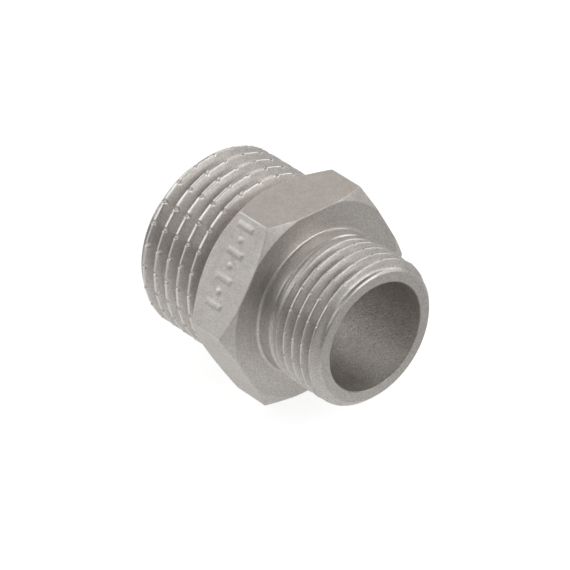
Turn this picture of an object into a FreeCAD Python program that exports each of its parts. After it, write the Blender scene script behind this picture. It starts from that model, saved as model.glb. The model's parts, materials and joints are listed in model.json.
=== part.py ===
import FreeCAD, Part
import math
import os

# Reducing hex nipple, one solid piece of metal, in millimetres.
#
# The bore axis is X. The 1/2 inch pipe thread points to -X and the 3/8 inch pipe thread to +X.
# The origin is on the bore axis at the middle of the hex collar's width. One hex flat faces up (+Z)
# and the opposite flat faces down, so that the fitting lies on it.
# Angles about the bore axis are in degrees, from +Y towards +Z.

# hex collar
ACROSS_FLATS = 22.0
COLLAR_WIDTH = 6.7
CORNER_EDGE_RADIUS = 0.2
SMALL_FACE_DIAMETER = 22.46
SMALL_FACE_CHAMFER_ANGLE = 30.0
LARGE_FACE_DIAMETER = 21.6
LARGE_FACE_CHAMFER_ANGLE = 40.0

# pipe thread shape, the same for both sizes (55 degree Whitworth form), as shares of the pitch
FLANK_HALF_ANGLE = 27.5
DEPTH_PER_PITCH = 0.6403
ROOT_ROUNDING_PER_PITCH = 0.1373
SHOULDER_HALF_ANGLE = 58.0
CREST_FLAT_PER_PITCH = 0.14

# Each threaded end is described as if it pointed to +X, by the following:
#   crest, neck and chamfer of the turned blank, and how far it stands out of the collar
#   groove: a right-hand helix whose middle passes groove_x at groove_angle, cut to full depth
#   from the free end to full_depth_x and then running out over runout_turns
#   notches: small V nicks along the axis, across the crests, which grip the sealing thread
SMALL_THREAD = {
    "crest_radius": 16.662 / 2,
    "pitch": 25.4 / 19,
    "length": 9.0,
    "neck_radius": 8.15,
    "neck_width": 2.75,
    "neck_fillet": 0.3,
    "chamfer": 0.92,
    "groove_x": 10.68,
    "groove_angle": 150.0,
    "full_depth_x": 6.9,
    "runout_turns": 1.4,
    "notch_count": 20,
    "notch_angle": 133.3,
    "notch_depth": 0.18,
    "notch_width": 0.48,
}
LARGE_THREAD = {
    "crest_radius": 20.955 / 2,
    "pitch": 25.4 / 14,
    "length": 10.7,
    "neck_radius": 10.2,
    "neck_width": 1.35,
    "neck_fillet": 0.3,
    "chamfer": 1.25,
    "groove_x": 11.513,
    "groove_angle": 17.0,
    "full_depth_x": 6.0,
    "runout_turns": 0.9,
    "notch_count": 26,
    "notch_angle": 31.5,
    "notch_depth": 0.28,
    "notch_width": 0.64,
}

# flow bore, stepped inside the hex collar
SMALL_BORE_RADIUS = 6.22
LARGE_BORE_RADIUS = 7.7
BORE_STEP_FROM_X = -4.2
BORE_STEP_TO_X = -1.2
SMALL_MOUTH_CHAMFER = 0.15
LARGE_MOUTH_CHAMFER = 0.3

# raised plain marks on the flat beside the top one
MARK_FLAT_ANGLE = 150.0
MARK_HEIGHT = 0.2
MARK_BAND = 2.2
MARK_STROKE = 0.55
MARK_STEP = 1.45
MARK_COUNT = 7
MARK_MIDDLE_ALONG_FLAT = -0.9
MARK_MIDDLE_X = -0.1

ORIGIN = FreeCAD.Vector(0, 0, 0)
BORE_AXIS = FreeCAD.Vector(1, 0, 0)
CLEAR = 1.0     # how far a cutting tool reaches past the surface that it cuts
SEAM_ANGLE = 225.0          # where a turned blank's seam lies, away from the groove's start
LEAST_GROOVE_SHARE = 0.02   # a cut groove takes at least this share of its blank
LIP = 0.03      # how far the shoulder line carries on above the crest
SINK = 0.3      # how deep a raised mark is rooted in the flat


def point(x, radius):
    """A point of a turned outline: place along the bore axis, and distance from it."""
    return FreeCAD.Vector(x, radius, 0)


def turned(outline):
    """The solid swept out by a closed outline that goes once round the bore axis."""
    face = Part.Face(Part.makePolygon(outline + outline[:1]))
    return face.revolve(ORIGIN, BORE_AXIS, 360)


def about_bore(shape, angle):
    """A copy of the shape, turned about the bore axis."""
    copy = shape.copy()
    copy.rotate(ORIGIN, BORE_AXIS, angle)
    return copy


def hex_collar():
    """The hexagon, with cone chamfers that leave a round face on each side."""
    half = COLLAR_WIDTH / 2
    corner_radius = ACROSS_FLATS / math.sqrt(3)
    corners = []
    for k in range(6):
        angle = math.radians(60 * k)
        corners.append(FreeCAD.Vector(-half, corner_radius * math.cos(angle), corner_radius * math.sin(angle)))
    prism = Part.Face(Part.makePolygon(corners + corners[:1])).extrude(BORE_AXIS * COLLAR_WIDTH)
    long_edges = [e for e in prism.Edges if abs(e.Vertexes[0].X - e.Vertexes[1].X) > half]
    prism = prism.makeFillet(CORNER_EDGE_RADIUS, long_edges)

    reach = corner_radius + CLEAR
    small_face = SMALL_FACE_DIAMETER / 2
    large_face = LARGE_FACE_DIAMETER / 2
    small_slope = math.tan(math.radians(SMALL_FACE_CHAMFER_ANGLE))
    large_slope = math.tan(math.radians(LARGE_FACE_CHAMFER_ANGLE))
    cones = turned([
        point(-half, 0),
        point(-half, large_face),
        point(-half + (reach - large_face) * large_slope, reach),
        point(half - (reach - small_face) * small_slope, reach),
        point(half, small_face),
        point(half, 0),
    ])
    return prism.common(cones)


def threaded_blank(size):
    """One turned end before threading, pointing to +X from the collar's middle."""
    face = COLLAR_WIDTH / 2
    end = face + size["length"]
    neck = size["neck_radius"]
    crest = size["crest_radius"]
    fillet = size["neck_fillet"]
    chamfer = size["chamfer"]
    neck_end = face + size["neck_width"]
    arc_middle = fillet * (1 - math.sqrt(0.5))
    inner = Part.makePolygon([point(0, 0), point(0, neck + fillet), point(face, neck + fillet)])
    root = Part.Arc(
        point(face, neck + fillet),
        point(face + arc_middle, neck + arc_middle),
        point(face + fillet, neck),
    ).toShape()
    outer = Part.makePolygon([
        point(face + fillet, neck),
        point(neck_end, neck),
        point(neck_end + crest - neck, crest),
        point(end - chamfer, crest),
        point(end, crest - chamfer),
        point(end, 0),
        point(0, 0),
    ])
    outline = Part.Wire(inner.Edges + [root] + outer.Edges)
    blank = Part.Face(outline).revolve(ORIGIN, BORE_AXIS, 360)
    return about_bore(blank, SEAM_ANGLE)


def groove_section(size):
    """The groove's outline across the helix, in the XZ plane: X is the distance from the axis.

    It has a rounded root, straight flanks, and a flatter shoulder on each side up to the crest.
    """
    pitch = size["pitch"]
    depth = DEPTH_PER_PITCH * pitch
    root_x = size["crest_radius"] - depth
    flank = math.radians(FLANK_HALF_ANGLE)
    shoulder = math.radians(SHOULDER_HALF_ANGLE)
    rounding = ROOT_ROUNDING_PER_PITCH * pitch
    root_half = rounding * math.cos(flank)
    root_rise = rounding * (1 - math.sin(flank))
    mouth_half = (1 - CREST_FLAT_PER_PITCH) * pitch / 2
    # the flank and the shoulder meet where both lines have the same half width
    sharp_half = root_half + (depth - root_rise) * math.tan(flank)
    drop = (mouth_half - sharp_half) / (math.tan(shoulder) - math.tan(flank))
    bend_half = mouth_half - drop * math.tan(shoulder)
    lip_half = mouth_half + LIP * math.tan(shoulder)

    def at(half, rise):
        return FreeCAD.Vector(root_x + rise, 0, half)

    sides = Part.makePolygon([
        at(root_half, root_rise),
        at(bend_half, depth - drop),
        at(lip_half, depth + LIP),
        at(lip_half, depth + CLEAR),
        at(-lip_half, depth + CLEAR),
        at(-lip_half, depth + LIP),
        at(-bend_half, depth - drop),
        at(-root_half, root_rise),
    ])
    root = Part.Arc(at(-root_half, root_rise), at(0, 0), at(root_half, root_rise)).toShape()
    return Part.Wire(sides.Edges + [root])


def swept(path, section):
    """The solid that a closed section sweeps along a helix."""
    pipe = Part.BRepOffsetAPI.MakePipeShell(Part.Wire(path.Edges))
    pipe.setFrenetMode(True)
    pipe.add(section, False, False)
    pipe.build()
    pipe.makeSolid()
    return pipe.shape()


def groove_tools(size):
    """The thread groove as two cutting solids: full depth to the free end, and the run-out at the neck.

    Both are swept round the Z axis from the place where full depth begins. They are then laid
    along X and turned so that the groove passes groove_x at groove_angle.
    """
    pitch = size["pitch"]
    root_radius = size["crest_radius"] - DEPTH_PER_PITCH * pitch
    section = groove_section(size)
    free_end = COLLAR_WIDTH / 2 + size["length"]
    full = swept(Part.makeHelix(pitch, free_end + pitch - size["full_depth_x"], root_radius), section)

    # the run-out winds outwards on a cone, away from the free end, until it has left the neck
    rise = size["neck_radius"] + LIP - root_radius
    length = size["runout_turns"] * pitch
    slope = math.atan2(rise, length)
    stretch = 1 / math.cos(slope)
    cone_helix = Part.makeHelix(pitch * stretch, length * stretch, root_radius, math.degrees(slope))
    runout = swept(cone_helix, section)
    runout.rotate(ORIGIN, FreeCAD.Vector(1, 0, 0), 180)

    start_angle = size["groove_angle"] + 360 * (size["full_depth_x"] - size["groove_x"]) / pitch
    lay_down = FreeCAD.Placement(ORIGIN, FreeCAD.Rotation(FreeCAD.Vector(1, 1, 1), 120))
    turn = FreeCAD.Placement(
        FreeCAD.Vector(size["full_depth_x"], 0, 0), FreeCAD.Rotation(BORE_AXIS, start_angle)
    )
    for tool in (full, runout):
        tool.Placement = turn.multiply(lay_down).multiply(tool.Placement)
    return [full, runout]


def crest_notches(size):
    """V-shaped prisms along the axis that nick the crests, evenly round the thread."""
    crest = size["crest_radius"]
    start = COLLAR_WIDTH / 2 + size["neck_width"] / 2
    end = COLLAR_WIDTH / 2 + size["length"] + CLEAR
    half = size["notch_width"] / 2
    bottom = crest - size["notch_depth"]
    widen = (size["notch_depth"] + CLEAR) / size["notch_depth"]
    section = [
        FreeCAD.Vector(start, bottom, 0),
        FreeCAD.Vector(start, crest + CLEAR, half * widen),
        FreeCAD.Vector(start, crest + CLEAR, -half * widen),
    ]
    prism = Part.Face(Part.makePolygon(section + section[:1])).extrude(BORE_AXIS * (end - start))
    count = size["notch_count"]
    return [about_bore(prism, size["notch_angle"] + 360 * k / count) for k in range(count)]


def threaded_end(size):
    """One end of the fitting with its thread, pointing to +X."""
    body = threaded_blank(size)
    blank_volume = body.Volume
    for tool in groove_tools(size):
        body = body.cut(tool)
    if body.Volume > blank_volume * (1 - LEAST_GROOVE_SHARE):
        raise RuntimeError("the thread groove was not cut")
    return body.cut(crest_notches(size))


def to_minus_x(shape):
    """The shape turned end for end about the vertical axis, which keeps its thread right-hand."""
    shape = shape.copy()
    shape.rotate(ORIGIN, FreeCAD.Vector(0, 0, 1), 180)
    return shape


def flow_bore():
    """The stepped passage, as the solid to be cut away, with a small chamfer at each mouth."""
    small_end = COLLAR_WIDTH / 2 + SMALL_THREAD["length"]
    large_end = -COLLAR_WIDTH / 2 - LARGE_THREAD["length"]
    return turned([
        point(large_end - CLEAR, 0),
        point(large_end - CLEAR, LARGE_BORE_RADIUS + LARGE_MOUTH_CHAMFER + CLEAR),
        point(large_end + LARGE_MOUTH_CHAMFER, LARGE_BORE_RADIUS),
        point(BORE_STEP_FROM_X, LARGE_BORE_RADIUS),
        point(BORE_STEP_TO_X, SMALL_BORE_RADIUS),
        point(small_end - SMALL_MOUTH_CHAMFER, SMALL_BORE_RADIUS),
        point(small_end + CLEAR, SMALL_BORE_RADIUS + SMALL_MOUTH_CHAMFER + CLEAR),
        point(small_end + CLEAR, 0),
    ])


def raised_marks():
    """A row of plain bars and studs, built on the top flat and turned to the marked one."""
    flat = ACROSS_FLATS / 2
    marks = []
    for k in range(MARK_COUNT):
        along = MARK_MIDDLE_ALONG_FLAT + (k - (MARK_COUNT - 1) / 2) * MARK_STEP
        if k % 2 == 0:
            corner = FreeCAD.Vector(MARK_MIDDLE_X - MARK_BAND / 2, -along - MARK_STROKE / 2, flat - SINK)
            marks.append(Part.makeBox(MARK_BAND, MARK_STROKE, SINK + MARK_HEIGHT, corner))
        else:
            middle = FreeCAD.Vector(MARK_MIDDLE_X, -along, flat - SINK)
            marks.append(Part.makeCylinder(MARK_STROKE / 2, SINK + MARK_HEIGHT, middle))
    return [about_bore(mark, MARK_FLAT_ANGLE - 90) for mark in marks]


def nipple_body():
    """The whole fitting: collar, both threaded ends, marks and bore."""
    body = hex_collar()
    body = body.fuse([threaded_end(SMALL_THREAD), to_minus_x(threaded_end(LARGE_THREAD))])
    body = body.fuse(raised_marks())
    return body.cut(flow_bore())


os.makedirs("parts", exist_ok=True)
shape = nipple_body()
solid = shape.Solids[0]
print("nipple_body: valid", shape.isValid(), "solids", len(shape.Solids), "volume", round(solid.Volume, 1))
solid.exportStep("parts/nipple_body.step")
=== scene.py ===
import json
import math
from types import SimpleNamespace

import bmesh
import bpy
import numpy as np
from mathutils import Matrix, Vector, noise


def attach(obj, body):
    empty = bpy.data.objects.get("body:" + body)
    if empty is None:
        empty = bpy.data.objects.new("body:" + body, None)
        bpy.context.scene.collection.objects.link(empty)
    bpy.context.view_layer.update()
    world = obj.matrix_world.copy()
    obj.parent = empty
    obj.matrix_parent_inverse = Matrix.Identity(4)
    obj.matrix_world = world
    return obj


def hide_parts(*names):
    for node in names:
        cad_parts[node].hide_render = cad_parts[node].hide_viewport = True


# The skin of a reducing hex nipple: cast hex collar, turned shoulders, two pipe threads with nicked
# crests, and a cast bore. Shapes are worked out in millimetres and angles in degrees about the bore
# axis X, from +Y towards +Z, as in the CAD part. The skin is one closed mesh.

MM = 0.001

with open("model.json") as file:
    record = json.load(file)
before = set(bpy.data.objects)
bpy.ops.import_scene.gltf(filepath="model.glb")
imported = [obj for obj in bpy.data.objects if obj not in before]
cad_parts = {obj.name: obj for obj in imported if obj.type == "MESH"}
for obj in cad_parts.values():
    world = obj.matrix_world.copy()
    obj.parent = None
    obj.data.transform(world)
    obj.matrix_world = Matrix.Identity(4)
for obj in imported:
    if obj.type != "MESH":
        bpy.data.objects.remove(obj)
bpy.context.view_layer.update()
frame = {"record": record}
mounts = {m["name"]: m for m in frame["record"]["mounts"]}


def mount_place(name, axis):
    """Place of a mount along X (0), Y (1) or Z (2), in millimetres."""
    return mounts[name]["pos_m"][axis] / MM


def mount_radius(name):
    return mounts[name]["dims"]["r_mm"]


# ---------------------------------------------------------------- sizes from the frame
SMALL_FACE_X = mount_place("small_shoulder", 0)
LARGE_FACE_X = mount_place("large_shoulder", 0)
SMALL_END_X = mount_place("small_end_face", 0)
LARGE_END_X = mount_place("large_end_face", 0)
HALF_ACROSS_FLATS = mount_place("wrench_flat_top", 2)
SMALL_BORE = mount_radius("small_bore")
LARGE_BORE = mount_radius("large_bore")

# ---------------------------------------------------------------- collar
SMALL_FACE_RADIUS = 11.23
SMALL_CHAMFER_ANGLE = 30.0
LARGE_FACE_RADIUS = 10.8
LARGE_CHAMFER_ANGLE = 40.0
EDGE_ROUNDING = 0.1
CORNER_ROUNDING = 0.22
FLAT_WAVE = 0.03        # how far a cast flat dips below true
CORNER_WORN = 0.6       # how worn the long corners are
CORNER_REACH = 0.45     # degrees either side of a corner that count as worn

# ---------------------------------------------------------------- threads
FLANK_ANGLE = 27.5
DEPTH = 0.6403          # shares of the pitch
ROOT_ROUNDING = 0.1373
SMALL = SimpleNamespace(
    crest=mount_radius("small_thread"), pitch=25.4 / 19, face=SMALL_FACE_X, end=SMALL_END_X,
    neck=8.15, fillet=0.3, neck_width=2.75, ramp=0.18, chamfer=0.92, crest_rounding=0.06,
    groove_x=10.68, groove_angle=150.0, full_depth_x=6.3, runout_turns=1.1,
    notches=20, notch_angle=133.3, notch_depth=0.12, notch_half=0.16, burr_side=1, faceting=0.25,
    shine=0.5, seed=3,
)
LARGE = SimpleNamespace(
    crest=mount_radius("large_thread"), pitch=25.4 / 14, face=-LARGE_FACE_X, end=-LARGE_END_X,
    neck=9.0, fillet=0.3, neck_width=0.5, ramp=1.1, chamfer=1.25, crest_rounding=0.05,
    groove_x=11.513, groove_angle=17.0, full_depth_x=0.0, runout_turns=1.0,
    notches=26, notch_angle=31.5, notch_depth=0.22, notch_half=0.24, burr_side=-1, faceting=0.55,
    shine=1.0, seed=5,
)
LIP_HEIGHT = 0.05       # metal pushed up beside a nick
LIP_PLACE = 1.2         # where it is highest, and how wide it is, in half nicks from the nick's middle
LIP_WIDTH = 0.4
LOW_LIP_SHARE = 0.3     # its height on the side away from the burr
WORN_DEPTH = 0.04       # crests are rubbed bright down to this depth
NOTCH_SPREAD = 0.3      # how much the nicks differ in depth, as a share

# ---------------------------------------------------------------- bore
BORE_STEP_FROM_X = -4.2
BORE_STEP_TO_X = -1.2
MOUTH_ROUNDING = 0.14
BORE_WAVE = 0.03
BORE_COLUMNS = 132

# ---------------------------------------------------------------- raised marks
MARK_FLAT = 150.0
MARK_HEIGHT = 0.13
MARK_BAND = 2.2
MARK_STROKE = 0.55
MARK_STEP = 1.45
MARK_COUNT = 7
MARK_MIDDLE_ALONG = -0.9
MARK_MIDDLE_X = -0.1
MARK_SOFTNESS = 0.34
MARK_GRID = 0.11

SUPPORT = 0.07          # how far a support ring lies from a rounded edge

# ---------------------------------------------------------------- floor
FLOOR_TONE = 0.3
FLOOR_GLOW_NEAR = 0.58
FLOOR_GLOW_FAR = 0.3
FLOOR_GLOW_SEEN = 0.86
FLOOR_GLOW_MIDDLE = (-6.0, -8.0)
FLOOR_GLOW_FROM = 15.0
FLOOR_GLOW_TO = 40.0
FLOOR_REACH = 6.0       # metres
FLOOR_STEPS = 12

# ---------------------------------------------------------------- camera and lamps
CAMERA_LENS = 250.7
CAMERA_SENSOR = 36
CAMERA_AZIMUTH = 48.42
CAMERA_ELEVATION = 33.34
CAMERA_ROLL = 0.9
CAMERA_DISTANCE = 413.4
CAMERA_AIM = (-0.8, -0.84, 0.12)
LAMP_DISTANCE = 0.6     # metres
LAMP_SIZE = 0.3         # metres

# material numbers in the skin
CAST, TURNED, THREAD, BORE = range(4)


# ---------------------------------------------------------------- mesh builder
class Skin:
    """Points and faces of the closed skin, gathered section by section."""

    def __init__(self):
        self.points = []
        self.faces = []
        self.materials = []
        self.count = 0

    def ring(self, points):
        """Adds a ring of points and returns their numbers. A fourth column says how worn they are."""
        points = np.asarray(points, float)
        if points.shape[1] == 3:
            points = np.column_stack([points, np.zeros(len(points))])
        self.points.append(points)
        first = self.count
        self.count += len(points)
        return np.arange(first, self.count)

    def band(self, ring_a, ring_b, material, closed=True):
        """Quads between two rings with as many points."""
        steps = len(ring_a) if closed else len(ring_a) - 1
        for i in range(steps):
            j = (i + 1) % len(ring_a)
            self.faces.append((ring_a[i], ring_a[j], ring_b[j], ring_b[i]))
            self.materials.append(material)

    def rows(self, rows, materials, closed=True):
        """Rings for each row of points, with bands between them. Returns the first and last ring."""
        rings = [self.ring(row) for row in rows]
        for a, b, material in zip(rings, rings[1:], materials):
            self.band(a, b, material, closed)
        return rings[0], rings[-1]

    def bridge(self, ring_a, angles_a, ring_b, angles_b, material):
        """Triangles between two rings whose points lie at different angles."""
        start = int(np.argmin(np.abs((angles_b - angles_a[0] + 180) % 360 - 180)))
        ring_b = np.roll(ring_b, -start)
        turn_a = (angles_a - angles_a[0]) % 360
        turn_b = (np.roll(angles_b, -start) - angles_a[0] + 180) % 360 - 180
        turn_b[1:] %= 360
        turn_a = np.append(turn_a, 360)
        turn_b = np.append(turn_b, 360 + turn_b[0])
        i = j = 0
        while i < len(ring_a) or j < len(ring_b):
            a, b = ring_a[i % len(ring_a)], ring_b[j % len(ring_b)]
            step_a = j >= len(ring_b) or (i < len(ring_a) and turn_a[i + 1] <= turn_b[j + 1])
            if step_a:
                i += 1
                third = ring_a[i % len(ring_a)]
            else:
                j += 1
                third = ring_b[j % len(ring_b)]
            self.faces.append((a, third, b))
            self.materials.append(material)

    def build(self, name):
        """One object, in metres, with doubled points welded and faces pointing out."""
        mesh = bpy.data.meshes.new(name)
        points = np.concatenate(self.points)
        faces = [tuple(int(i) for i in face) for face in self.faces]
        mesh.from_pydata((points[:, :3] * MM).tolist(), [], faces)
        mesh.polygons.foreach_set("material_index", self.materials)
        mesh.attributes.new("worn", "FLOAT", "POINT").data.foreach_set("value", points[:, 3])
        work = bmesh.new()
        work.from_mesh(mesh)
        bmesh.ops.remove_doubles(work, verts=work.verts, dist=4e-7)
        bmesh.ops.dissolve_degenerate(work, dist=4e-7, edges=work.edges)
        bmesh.ops.recalc_face_normals(work, faces=work.faces)
        for face in work.faces:
            face.smooth = True
        work.to_mesh(mesh)
        work.free()
        piece = bpy.data.objects.new(name, mesh)
        bpy.context.scene.collection.objects.link(piece)
        return piece


def around(x, radius, angles):
    """Points at a place along the axis and a distance from it, at the angles."""
    turn = np.radians(angles)
    x = np.broadcast_to(x, turn.shape)
    radius = np.broadcast_to(radius, turn.shape)
    return np.column_stack([x, radius * np.cos(turn), radius * np.sin(turn)])


def smooth_step(t):
    t = np.clip(t, 0, 1)
    return t * t * (3 - 2 * t)


def wave(points, size, seed):
    """Smooth noise from 0 to 1 at each point, with bumps of about that size in millimetres."""
    offset = Vector((seed * 17.3, seed * 5.1, seed * 9.7))
    values = [noise.noise(Vector(p) / size + offset) for p in points]
    return np.clip(np.array(values) * 0.5 + 0.5, 0, 1)


# ---------------------------------------------------------------- thread shape
def crest_half(rounding):
    """Half the width of the crest's flat part, as a share of the pitch."""
    flank = math.radians(FLANK_ANGLE)
    sharp = 0.25 - DEPTH / 2 * math.tan(flank)
    return sharp - rounding * math.cos(flank) + rounding * (1 - math.sin(flank)) * math.tan(flank)


def groove_height(across, rounding):
    """Height above the groove's root at a distance from its middle, both as shares of the pitch."""
    flank = math.radians(FLANK_ANGLE)
    half = crest_half(rounding)
    root_half = ROOT_ROUNDING * math.cos(flank)
    root_rise = ROOT_ROUNDING * (1 - math.sin(flank))
    root = ROOT_ROUNDING - np.sqrt(np.clip(ROOT_ROUNDING**2 - across**2, 0, None))
    straight = root_rise + (across - root_half) / math.tan(flank)
    into_crest = np.clip(0.5 - half - across, 0, rounding)
    crest = DEPTH - rounding + np.sqrt(rounding**2 - into_crest**2)
    crest_start = 0.5 - half - rounding * math.cos(flank)
    return np.where(across < root_half, root, np.where(across < crest_start, straight, crest))


def groove_stations(rounding):
    """Where the grid rows lie across one pitch: dense round the root and crest, sparse on the flanks."""
    flank = math.radians(FLANK_ANGLE)
    arc = np.radians(np.linspace(0, 90 - FLANK_ANGLE, 3))
    root = ROOT_ROUNDING * np.sin(arc)
    half_flat = crest_half(rounding)
    crest_start = 0.5 - half_flat - rounding * math.cos(flank)
    straight = root[-1] + (crest_start - root[-1]) * np.array([0.33, 0.6, 0.806])
    crest = 0.5 - half_flat - rounding * np.sin(arc[::-1])
    half = np.concatenate([root[1:], straight, crest])
    return np.concatenate([-half[::-1], [0], half, [0.5]])


def notch_columns(size):
    """Angles of the grid columns: close together at each nick, from the first nick once round."""
    per_notch = 360 / size.notches
    half = math.degrees(size.notch_half / size.crest)
    near = np.array([0, 0.5, 0.9, 1.2, 1.7]) * half
    rest = np.linspace(near[-1], per_notch - near[-1], 5)[1:-1]
    sector = np.concatenate([near, rest, per_notch - near[:0:-1]])
    starts = size.notch_angle + per_notch * np.arange(size.notches)
    angles = (starts[:, None] + sector[None, :]).ravel()
    return np.append(angles, size.notch_angle + 360)


def thread_surface(size, x, angles):
    """Distance of the threaded end's surface from the axis, and how worn it is."""
    neck_end = size.face + size.neck_width
    risen = np.clip((x - neck_end) / size.ramp, 0, 1)
    blank = size.neck + (size.crest - size.neck) * risen
    blank = np.minimum(blank, size.crest - (x - (size.end - size.chamfer)))

    turns = (x - size.groove_x) / size.pitch - (angles - size.groove_angle) / 360
    across = turns - np.round(turns)
    groove_x = x - across * size.pitch
    root = size.crest - DEPTH * size.pitch
    climb = max(size.neck - root, 0) / (size.runout_turns * size.pitch)
    lift = np.clip(size.full_depth_x - groove_x, 0, None) * climb
    groove = root + size.pitch * groove_height(np.abs(across), size.crest_rounding) + lift
    surface = np.minimum(blank, groove)
    worn = smooth_step((surface - (size.crest - WORN_DEPTH)) / (0.6 * WORN_DEPTH))
    # the edge where the last of the groove leaves the neck is bright too
    groove_edge = np.exp(-(((groove - blank) / WORN_DEPTH) ** 2))
    on_neck = (x > size.face + 0.6 * size.neck_width) & (x < neck_end)
    worn = np.where(on_neck, 0.7 * groove_edge, worn)

    # nicks: a V groove with metal pushed up beside it, mostly on one side, each of its own depth
    per_notch = 360 / size.notches
    place = (angles - size.notch_angle) / per_notch
    number = np.round(place).astype(int) % size.notches
    aside = (place - np.round(place)) * per_notch
    off = np.radians(np.abs(aside)) * size.crest / size.notch_half
    spread = np.random.default_rng(size.seed).uniform(-NOTCH_SPREAD, NOTCH_SPREAD, size.notches)
    depth = size.notch_depth * (1 + spread[number])
    nick = size.crest - depth * (1 - off)
    high = smooth_step((surface - (size.crest - 1.2 * size.notch_depth)) / (0.8 * size.notch_depth))
    lip = LIP_HEIGHT * np.exp(-(((off - LIP_PLACE) / LIP_WIDTH) ** 2)) * high
    lip = lip * np.where(aside * size.burr_side > 0, 1, LOW_LIP_SHARE)
    lip = lip * smooth_step((size.end - size.chamfer - x) / 0.2)
    nicked = x > size.face + size.neck_width / 2
    worn = np.where(nicked & (nick < surface), 0, np.maximum(worn, lip / LIP_HEIGHT))
    surface = np.where(nicked, np.minimum(surface + lip, nick), surface)

    # between two nicks the thread nearly follows a chord
    half = math.radians(per_notch / 2)
    from_middle = half - np.radians(np.abs(aside))
    chord = math.cos(half) / np.cos(from_middle)
    on_thread = smooth_step((x - size.face - size.neck_width) / 0.8)
    on_thread = on_thread * smooth_step((size.end - size.chamfer / 2 - x) / 0.8)
    return surface * (1 - size.faceting * on_thread * (1 - chord)), size.shine * worn


def thread_rows(size):
    """The threaded end's grid, pointing to +X: rows that follow the helix, cut off at both ends."""
    angles = notch_columns(size)
    start = size.face + size.fillet
    end = size.end - EDGE_ROUNDING * (1 - math.sqrt(0.5))
    stations = groove_stations(size.crest_rounding)
    lead = (angles - size.groove_angle) / 360
    first = math.floor((start - size.groove_x) / size.pitch - lead.max()) - 1
    last = math.ceil((end - size.groove_x) / size.pitch - lead.min()) + 1
    turns = (np.arange(first, last)[:, None] + stations[None, :]).ravel()
    x = size.groove_x + size.pitch * (turns[:, None] + lead[None, :])
    x = np.clip(x, start, end)

    # at each edge of the blank the nearest row is moved onto it, so that the edge is sharp
    neck_end = size.face + size.neck_width
    for edge in (size.end - size.chamfer, neck_end, neck_end + size.ramp):
        nearest = np.argmin(np.abs(x - edge), axis=0)
        x[nearest, np.arange(len(angles))] = edge
    used = (x.max(axis=1) > start) & (x.min(axis=1) < end)
    used[:-1] |= used[1:]
    used[1:] |= used[:-1]
    rows = []
    for row in x[used]:
        radius, worn = thread_surface(size, row, angles)
        rows.append(np.column_stack([around(row, radius, angles), worn]))
    return rows, angles


def threaded_end(skin, size, flip):
    """Fillet, thread, chamfer and end ring. Returns the rings to be joined to the collar and the bore."""
    helix, angles = thread_rows(size)
    closed_angles = angles[:-1]
    turn = np.radians([0, 22.5, 45, 67.5, 90])

    rows = [around(size.face, size.neck + size.fillet + SUPPORT, angles)]
    for t in turn:
        x = size.face + size.fillet * (1 - math.cos(t))
        rows.append(around(x, size.neck + size.fillet * (1 - math.sin(t)), angles))
    materials = [TURNED] + [THREAD] * (len(turn) - 1)
    rows = rows[:-1] + helix    # the fillet ends where the helix rows begin
    materials += [THREAD] * (len(helix) - 1)

    arc_radius = size.crest - size.chamfer + EDGE_ROUNDING * (1 - math.sqrt(2))
    for t in np.radians([30, 15, 0]):
        x = size.end - EDGE_ROUNDING * (1 - math.cos(t))
        rows.append(around(x, arc_radius + EDGE_ROUNDING * math.sin(t), angles))
        materials.append(TURNED)
    rows.append(around(size.end, arc_radius - SUPPORT, angles))
    materials.append(TURNED)

    if flip:
        # half a turn about Z
        rows = [row * np.array([-1, -1, 1, 1])[: row.shape[1]] for row in rows]
        closed_angles = (180 - closed_angles) % 360
    inner, outer = skin.rows(rows, materials, closed=False)
    return (inner[:-1], closed_angles), (outer[:-1], closed_angles)


# ---------------------------------------------------------------- collar shape
def side_places(marked):
    """Places along one flat, from corner to corner."""
    half_side = HALF_ACROSS_FLATS * math.tan(math.radians(30))
    straight = half_side - CORNER_ROUNDING * math.tan(math.radians(30))
    circle = math.sqrt(SMALL_FACE_RADIUS**2 - HALF_ACROSS_FLATS**2)
    places = [-straight, -straight + SUPPORT, straight - SUPPORT, straight, -circle, circle]
    places += list(np.linspace(-circle, circle, 9)[1:-1])
    between = np.linspace(circle, straight - SUPPORT, 8)[1:-1]
    places += list(between) + list(-between)
    if marked:
        reach = MARK_STEP * (MARK_COUNT - 1) / 2 + MARK_STROKE / 2 + MARK_SOFTNESS
        low, high = MARK_MIDDLE_ALONG - reach, MARK_MIDDLE_ALONG + reach
        places = [p for p in places if not low < p < high]
        places += list(np.linspace(low, high, round((high - low) / MARK_GRID)))
    return sorted(places)


def collar_columns():
    """Angle and radius of every column of the hexagon, with rounded corners."""
    angles, radii, sides = [], [], []
    corner_middle = (HALF_ACROSS_FLATS - CORNER_ROUNDING) / math.cos(math.radians(30))
    for k in range(6):
        normal = 30 + 60 * k
        for place in side_places(normal == MARK_FLAT):
            angles.append(normal + math.degrees(math.atan2(place, HALF_ACROSS_FLATS)))
            radii.append(math.hypot(place, HALF_ACROSS_FLATS))
            sides.append(normal)
        corner = math.radians(normal + 30)
        for bend in (-15, 0, 15):
            tip = corner + math.radians(bend)
            y = corner_middle * math.cos(corner) + CORNER_ROUNDING * math.cos(tip)
            z = corner_middle * math.sin(corner) + CORNER_ROUNDING * math.sin(tip)
            angle = math.degrees(math.atan2(z, y))
            angles.append(angle + 360 * round((normal + 30 - angle) / 360))
            radii.append(math.hypot(y, z))
            sides.append(normal)
    return np.array(angles), np.array(radii), np.array(sides)


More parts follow.
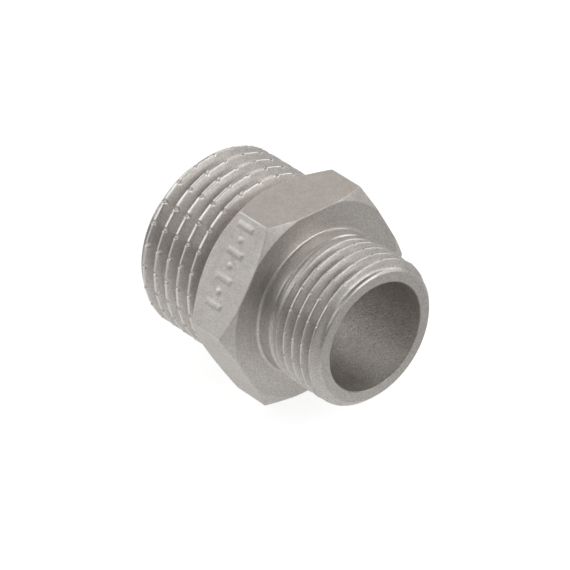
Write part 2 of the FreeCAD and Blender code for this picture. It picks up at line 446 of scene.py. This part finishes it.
def mark_height(x, along):
    """Height of the raised marks: bars and studs by turns, with soft sides."""
    height = np.zeros(np.broadcast(x, along).shape)
    for k in range(MARK_COUNT):
        middle = MARK_MIDDLE_ALONG + (k - (MARK_COUNT - 1) / 2) * MARK_STEP
        dx, ds = np.abs(x - MARK_MIDDLE_X), np.abs(along - middle)
        if k % 2 == 0:
            inside = np.minimum(MARK_BAND / 2 - dx, MARK_STROKE / 2 - ds)
        else:
            inside = MARK_STROKE / 2 - np.hypot(dx, ds)
        height = np.maximum(height, MARK_HEIGHT * smooth_step(inside / MARK_SOFTNESS + 0.5))
    return height


def collar(skin):
    """Hexagon with cone chamfers and rounded edges. Returns its ring on each shoulder."""
    angles, radii, sides = collar_columns()
    r = EDGE_ROUNDING
    small_slope = math.tan(math.radians(SMALL_CHAMFER_ANGLE))
    large_slope = math.tan(math.radians(LARGE_CHAMFER_ANGLE))
    flat_r = radii - r

    # middles of the roundings at both ends of each cone, which shrinks to nothing amid each flat
    cone_r = SMALL_FACE_RADIUS - r * math.tan(math.radians(SMALL_CHAMFER_ANGLE / 2))
    small_a_r = np.minimum(cone_r, flat_r)
    small_a_x = np.full_like(radii, SMALL_FACE_X - r)
    small_b_x = small_a_x - (flat_r - small_a_r) * small_slope
    cone_r = LARGE_FACE_RADIUS - r * math.tan(math.radians(LARGE_CHAMFER_ANGLE / 2))
    large_a_r = np.minimum(cone_r, flat_r)
    large_a_x = np.full_like(radii, LARGE_FACE_X + r)
    large_b_x = large_a_x + (flat_r - large_a_r) * large_slope

    rows, materials = [], []

    def add(x, radius, material):
        rows.append(around(x, radius, angles))
        materials.append(material)

    def arc(x, radius, from_angle, to_angle, steps, material):
        for t in np.radians(np.linspace(from_angle, to_angle, steps)):
            add(x + r * math.cos(t), radius + r * math.sin(t), material)

    def cone(from_x, from_r, to_x, to_r, facing):
        """Two rows just inside the ends of a cone, which keep its middle straight."""
        share = np.minimum(SUPPORT / np.maximum(np.hypot(to_x - from_x, to_r - from_r), SUPPORT), 0.3)
        out_x, out_r = r * math.cos(math.radians(facing)), r * math.sin(math.radians(facing))
        for part in (share, 1 - share):
            add(from_x + (to_x - from_x) * part + out_x, from_r + (to_r - from_r) * part + out_r, CAST)

    add(SMALL_FACE_X, small_a_r - SUPPORT, TURNED)
    arc(small_a_x, small_a_r, 0, SMALL_CHAMFER_ANGLE, 3, CAST)
    cone(small_a_x, small_a_r, small_b_x, flat_r, SMALL_CHAMFER_ANGLE)
    arc(small_b_x, flat_r, SMALL_CHAMFER_ANGLE, 90, 5, CAST)

    top, bottom = small_b_x, large_b_x
    band_top = MARK_MIDDLE_X + MARK_BAND / 2 + MARK_SOFTNESS
    band_bottom = MARK_MIDDLE_X - MARK_BAND / 2 - MARK_SOFTNESS
    add(top - SUPPORT, radii, CAST)
    add(top + (band_top - top) * 0.5, radii, CAST)
    band = np.linspace(band_top, band_bottom, round((band_top - band_bottom) / MARK_GRID))
    for x in band:
        add(np.full_like(radii, x), radii, CAST)
    add(bottom + (band_bottom - bottom) * 0.5, radii, CAST)
    add(bottom + SUPPORT, radii, CAST)

    arc(large_b_x, flat_r, 90, 180 - LARGE_CHAMFER_ANGLE, 4, CAST)
    cone(large_b_x, flat_r, large_a_x, large_a_r, 180 - LARGE_CHAMFER_ANGLE)
    arc(large_a_x, large_a_r, 180 - LARGE_CHAMFER_ANGLE, 180, 3, CAST)
    add(LARGE_FACE_X, large_a_r - SUPPORT, TURNED)

    # marks stand out of one flat, and every flat and cone dips a little, as castings do
    turn = np.radians(sides)
    normals = np.column_stack([np.zeros_like(turn), np.cos(turn), np.sin(turn)])
    along = HALF_ACROSS_FLATS * np.tan(np.radians(angles - sides))
    marked = (sides == MARK_FLAT) & (np.abs(angles - sides) < 30)
    for i in range(2, len(rows) - 2):
        row = rows[i]
        edge = smooth_step(np.minimum(SMALL_FACE_X - row[:, 0], row[:, 0] - LARGE_FACE_X) / 0.5)
        dip = FLAT_WAVE * wave(row, 3.2, 1) * edge
        raised = np.where(marked, mark_height(row[:, 0], along), 0)
        rows[i] = row + normals * (raised - dip)[:, None]

    # the long corners are rubbed a little bright, between the cones
    on_corner = np.abs(np.abs(angles - sides) - 30) < CORNER_REACH
    for i, row in enumerate(rows):
        between = (row[:, 0] < small_b_x) & (row[:, 0] > large_b_x)
        rows[i] = np.column_stack([row, CORNER_WORN * (on_corner & between)])

    first, last = skin.rows(rows, materials[1:])
    return (first, angles % 360), (last, angles % 360)


# ---------------------------------------------------------------- bore shape
def bore(skin):
    """The stepped passage from mouth to mouth. Returns its ring on each end face."""
    angles = np.arange(BORE_COLUMNS) * 360 / BORE_COLUMNS
    r = MOUTH_ROUNDING
    outline = [(SMALL_END_X, SMALL_BORE + r + SUPPORT)]
    for t in np.radians([0, 22.5, 45, 67.5, 90]):
        outline.append((SMALL_END_X - r + r * math.cos(t), SMALL_BORE + r - r * math.sin(t)))
    outline += [(x, SMALL_BORE) for x in np.linspace(SMALL_END_X - r - SUPPORT, BORE_STEP_TO_X, 18)]
    steps = 6
    for k in range(1, steps):
        share = k / steps
        x = BORE_STEP_TO_X + (BORE_STEP_FROM_X - BORE_STEP_TO_X) * share
        outline.append((x, SMALL_BORE + (LARGE_BORE - SMALL_BORE) * float(smooth_step(share))))
    outline += [(x, LARGE_BORE) for x in np.linspace(BORE_STEP_FROM_X, LARGE_END_X + r + SUPPORT, 14)]
    for t in np.radians([90, 67.5, 45, 22.5, 0]):
        outline.append((LARGE_END_X + r - r * math.cos(t), LARGE_BORE + r - r * math.sin(t)))
    outline.append((LARGE_END_X, LARGE_BORE + r + SUPPORT))

    rows = []
    for x, radius in outline:
        row = around(x, radius, angles)
        push = BORE_WAVE * (wave(row, 2.6, 2) - 0.5)
        rows.append(around(x, radius + push, angles))
    first, last = skin.rows(rows, [TURNED] + [BORE] * (len(rows) - 3) + [TURNED])
    return (first, angles), (last, angles)


def by_angle(ring, angles):
    """A ring and its angles, put in rising order of angle."""
    order = np.argsort(angles % 360)
    return ring[order], (angles % 360)[order]


def nipple_skin():
    """All sections, joined by flat rings on the shoulders and the end faces."""
    skin = Skin()
    small_root, small_tip = threaded_end(skin, SMALL, flip=False)
    large_root, large_tip = threaded_end(skin, LARGE, flip=True)
    small_shoulder, large_shoulder = collar(skin)
    small_mouth, large_mouth = bore(skin)
    for outer, inner in (
        (small_shoulder, small_root),
        (large_shoulder, large_root),
        (small_tip, small_mouth),
        (large_tip, large_mouth),
    ):
        ring_a, angles_a = by_angle(*outer)
        ring_b, angles_b = by_angle(*inner)
        skin.bridge(ring_a, angles_a, ring_b, angles_b, TURNED)
    return skin.build("nipple_skin")


nipple = nipple_skin()


# ---------------------------------------------------------------- materials
class Recipe:
    """A material's node tree, with places in millimetres and in rings about the bore axis."""

    def __init__(self, name):
        self.material = bpy.data.materials.new(name)
        self.material.use_nodes = True
        self.tree = self.material.node_tree
        self.tree.nodes.clear()
        place = self.add("ShaderNodeTexCoord").outputs["Object"]
        self.place = self.vector("SCALE", place, Scale=1 / MM)
        split = self.add("ShaderNodeSeparateXYZ", Vector=self.place)
        self.x, self.y, self.z = split.outputs
        flat = self.add("ShaderNodeCombineXYZ", Y=self.y, Z=self.z).outputs[0]
        self.radius = self.vector("LENGTH", flat)

    def add(self, kind, settings=None, **inputs):
        """A node with its settings, and with its inputs set to values or linked to outputs."""
        node = self.tree.nodes.new(kind)
        for key, value in (settings or {}).items():
            setattr(node, key, value)
        for key, value in inputs.items():
            socket = node.inputs[key.replace("_", " ")]
            if isinstance(value, bpy.types.NodeSocket):
                self.tree.links.new(value, socket)
            else:
                socket.default_value = value
        return node

    def vector(self, operation, a, b=None, Scale=None):
        node = self.tree.nodes.new("ShaderNodeVectorMath")
        node.operation = operation
        self.tree.links.new(a, node.inputs[0])
        if b is not None:
            node.inputs[1].default_value = b
        if Scale is not None:
            node.inputs["Scale"].default_value = Scale
        return node.outputs["Value" if operation == "LENGTH" else "Vector"]

    def math(self, operation, a, b=0.0, c=0.0):
        node = self.tree.nodes.new("ShaderNodeMath")
        node.operation = operation
        for socket, value in zip(node.inputs, (a, b, c)):
            if isinstance(value, bpy.types.NodeSocket):
                self.tree.links.new(value, socket)
            else:
                socket.default_value = value
        return node.outputs[0]

    def noise(self, size, detail=2.0, roughness=0.5, vector=None):
        """Noise from 0 to 1 with features of about this size in millimetres."""
        node = self.add(
            "ShaderNodeTexNoise", Scale=1 / size, Detail=detail, Roughness=roughness,
            Vector=vector or self.place,
        )
        return node.outputs["Fac"]

    def spread(self, value, low, high, from_low=0.3, from_high=0.7):
        """The value's usual range, taken to low and high."""
        node = self.add(
            "ShaderNodeMapRange", Value=value, From_Min=from_low, From_Max=from_high,
            To_Min=low, To_Max=high,
        )
        return node.outputs[0]

    def mix(self, share, a, b):
        """A colour between two."""
        node = self.tree.nodes.new("ShaderNodeMix")
        node.data_type = "RGBA"
        for socket, value in zip((node.inputs[0], node.inputs[6], node.inputs[7]), (share, a, b)):
            if isinstance(value, bpy.types.NodeSocket):
                self.tree.links.new(value, socket)
            else:
                socket.default_value = value
        return node.outputs[2]

    def bump(self, height, depth, normal=None):
        """Relief whose height from 0 to 1 stands for this many millimetres."""
        settings = {} if normal is None else {"Normal": normal}
        node = self.add("ShaderNodeBump", Height=height, Distance=depth * MM, Strength=1.0, **settings)
        return node.outputs[0]

    def worn(self, colour, roughness, bright, smooth):
        """Colour and roughness, changed to brighter and smoother where the metal is rubbed."""
        share = self.add("ShaderNodeAttribute", {"attribute_name": "worn"}).outputs["Fac"]
        share = self.math("MULTIPLY", share, self.spread(self.noise(0.35, 2.0), 0.7, 1.0))
        rougher = self.math("MULTIPLY", self.math("SUBTRACT", roughness, smooth), share)
        return self.mix(share, colour, bright), self.math("SUBTRACT", roughness, rougher)

    def metal(self, colour, roughness, normal, anisotropy=0.0):
        inputs = {
            "Base_Color": colour, "Roughness": roughness, "Normal": normal,
            "Metallic": 1.0, "Anisotropic": anisotropy,
        }
        if anisotropy:
            tangent = self.add("ShaderNodeTangent", {"direction_type": "RADIAL", "axis": "X"})
            inputs["Tangent"] = tangent.outputs[0]
            inputs["Anisotropic_Rotation"] = 0.25
        shader = self.add("ShaderNodeBsdfPrincipled", **inputs)
        out = self.tree.nodes.new("ShaderNodeOutputMaterial")
        self.tree.links.new(shader.outputs[0], out.inputs["Surface"])
        return self.material


def tone(value, warmth=0.0):
    """A grey, a little warm or cool."""
    return (value * (1 + warmth), value, value * (1 - warmth), 1)


def cast_metal(name, bright, dark, warmth, grain, relief, swell, contrast):
    """Blasted casting: fine grain, soft patches, and low swellings from the mould."""
    m = Recipe(name)
    patches = m.noise(3.4, 2.0)
    speckle = m.noise(grain, 3.0, 0.75)
    mottle = m.noise(0.8, 2.0, 0.6)
    colour = m.mix(m.spread(patches, 0, 1), tone(dark, warmth * 1.3), tone(bright, warmth))
    colour = m.mix(m.spread(speckle, 0, contrast, 0.4, 0.7), colour, tone(dark * 0.5, warmth * 1.5))
    colour = m.mix(m.spread(mottle, 0, 0.3), colour, tone(bright * 1.12, warmth * 0.7))
    roughness = m.spread(m.noise(0.6, 2.0), 0.42, 0.58)
    colour, roughness = m.worn(colour, roughness, tone(0.9, 0.02), 0.3)
    normal = m.bump(m.noise(0.9, 2.0), swell)
    normal = m.bump(speckle, relief, normal)
    return m.metal(colour, roughness, normal)


def ring_lines(m, width):
    """Noise that changes with the distance from the axis, and hardly round it."""
    bend = m.math("MULTIPLY", m.noise(6.0, 1.0), 0.25)
    lines = m.add("ShaderNodeCombineXYZ", X=m.math("ADD", m.radius, bend), Y=m.x)
    return m.noise(width, 2.0, 0.7, lines.outputs[0])


def turned_metal():
    """Faced shoulders and end rings, with fine rings from the tool."""
    m = Recipe("turned_metal")
    fine = ring_lines(m, 0.12)
    broad = ring_lines(m, 0.5)
    grain = m.noise(0.17, 3.0, 0.75)
    colour = m.mix(m.spread(broad, 0, 1), tone(0.6, 0.05), tone(0.68, 0.04))
    colour = m.mix(m.spread(grain, 0, 0.8, 0.4, 0.7), colour, tone(0.34, 0.08))
    roughness = m.spread(broad, 0.38, 0.46)
    normal = m.bump(fine, 0.002)
    normal = m.bump(grain, 0.02, normal)
    return m.metal(colour, roughness, normal, anisotropy=0.5)


def thread_metal():
    """Cut threads with bright crests: tool lines along the helix and slight chatter."""
    m = Recipe("thread_metal")
    fine = ring_lines(m, 0.15)
    patches = m.noise(1.2, 2.0)
    grain = m.noise(0.17, 3.0, 0.75)
    colour = m.mix(m.spread(patches, 0, 1), tone(0.64, 0.05), tone(0.72, 0.04))
    colour = m.mix(m.spread(grain, 0, 0.75, 0.4, 0.7), colour, tone(0.36, 0.08))
    roughness = m.spread(fine, 0.38, 0.48)
    colour, roughness = m.worn(colour, roughness, tone(0.8, 0.03), 0.36)
    normal = m.bump(fine, 0.003)
    normal = m.bump(grain, 0.012, normal)
    return m.metal(colour, roughness, normal, anisotropy=0.3)


def floor_material():
    """Pale backlit paper: the metal sees it brightest close by, and the camera sees it even."""
    m = Recipe("floor_paper")
    tint = m.mix(m.noise(40.0, 2.0), tone(FLOOR_TONE), tone(FLOOR_TONE * 0.97))
    aside = [m.math("SUBTRACT", place, middle) for place, middle in zip((m.x, m.y), FLOOR_GLOW_MIDDLE)]
    across = m.vector("LENGTH", m.add("ShaderNodeCombineXYZ", X=aside[0], Y=aside[1]).outputs[0])
    glow = m.spread(across, FLOOR_GLOW_NEAR, FLOOR_GLOW_FAR, FLOOR_GLOW_FROM, FLOOR_GLOW_TO)
    seen = m.add("ShaderNodeLightPath").outputs["Is Camera Ray"]
    glow = m.math("MULTIPLY_ADD", m.math("SUBTRACT", FLOOR_GLOW_SEEN, glow), seen, glow)
    shader = m.add(
        "ShaderNodeBsdfPrincipled", Base_Color=tint, Roughness=0.9,
        Emission_Color=(1, 1, 1, 1), Emission_Strength=glow,
    )
    out = m.tree.nodes.new("ShaderNodeOutputMaterial")
    m.tree.links.new(shader.outputs[0], out.inputs["Surface"])
    return m.material


collar_metal = cast_metal(
    "cast_metal", bright=0.69, dark=0.61, warmth=0.048, grain=0.2, relief=0.035, swell=0.02, contrast=0.6,
)
bore_metal = cast_metal(
    "bore_metal", bright=0.62, dark=0.55, warmth=0.05, grain=0.17, relief=0.07, swell=0.01, contrast=0.95,
)
for metal in (collar_metal, turned_metal(), thread_metal(), bore_metal):
    nipple.data.materials.append(metal)
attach(nipple, "root")
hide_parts("nipple_body")


# ---------------------------------------------------------------- floor, light and camera
def floor():
    """A flat pale floor under the fitting, wide enough to have no visible edge."""
    mesh = bpy.data.meshes.new("floor")
    work = bmesh.new()
    bmesh.ops.create_grid(work, x_segments=FLOOR_STEPS, y_segments=FLOOR_STEPS, size=FLOOR_REACH)
    work.to_mesh(mesh)
    work.free()
    plane = bpy.data.objects.new("floor", mesh)
    plane.location.z = -HALF_ACROSS_FLATS * MM
    mesh.materials.append(floor_material())
    bpy.context.scene.collection.objects.link(plane)


def direction(azimuth, elevation):
    """Where something stands, seen from the fitting. Azimuth 0 is the front (-Y) and 90 the right (+X)."""
    turn, rise = math.radians(azimuth), math.radians(elevation)
    return Vector((math.sin(turn) * math.cos(rise), -math.cos(turn) * math.cos(rise), math.sin(rise)))


def softbox(name, azimuth, elevation, radiance, warmth=0.0):
    """A square area light aimed at the fitting."""
    away = direction(azimuth, elevation)
    data = bpy.data.lights.new(name, "AREA")
    data.shape = "SQUARE"
    data.size = LAMP_SIZE
    data.energy = radiance * math.pi * LAMP_SIZE * LAMP_SIZE
    data.color = (1 + warmth, 1, 1 - warmth)
    lamp = bpy.data.objects.new(name, data)
    lamp.location = away * LAMP_DISTANCE
    lamp.rotation_mode = "QUATERNION"
    lamp.rotation_quaternion = away.to_track_quat("Z", "Y")
    bpy.context.scene.collection.objects.link(lamp)


def camera():
    """A long lens from the small thread's side, a little above, with a slight roll."""
    data = bpy.data.cameras.new("camera")
    data.lens = CAMERA_LENS
    data.sensor_width = CAMERA_SENSOR
    away = direction(CAMERA_AZIMUTH, CAMERA_ELEVATION)
    aim = Vector(CAMERA_AIM) * MM
    eye = bpy.data.objects.new("camera", data)
    facing = away.to_track_quat("Z", "Y").to_matrix() @ Matrix.Rotation(math.radians(CAMERA_ROLL), 3, "Z")
    eye.matrix_world = Matrix.Translation(aim + away * CAMERA_DISTANCE * MM) @ facing.to_4x4()
    bpy.context.scene.collection.objects.link(eye)
    bpy.context.scene.camera = eye


def surroundings(strength):
    world = bpy.data.worlds.new("studio")
    world.use_nodes = True
    world.node_tree.nodes["Background"].inputs["Color"].default_value = (1, 1, 1, 1)
    world.node_tree.nodes["Background"].inputs["Strength"].default_value = strength
    bpy.context.scene.world = world


floor()
camera()
surroundings(0.03)
softbox("low_left", 270, 12, 4.4)
softbox("back_left", 240, 12, 1.2, warmth=0.06)
softbox("back_left_high", 210, 38, 0.8, warmth=0.06)
softbox("over", 235, 62, 0.5)
softbox("upper_left", 295, 58, 1.1)
softbox("left_high", 318, 38, 1.3)
softbox("left_front", 320, 12, 0.8)
softbox("front", 350, 38, 1.6)
softbox("right_near", 60, 38, 0.5)
softbox("right_front", 90, 38, 2.0)
softbox("right", 120, 38, 3.1)
softbox("low_back_right", 150, 12, 0.7)
softbox("back", 180, 30, 2.7)
bpy.context.scene.view_settings.view_transform = "Standard"
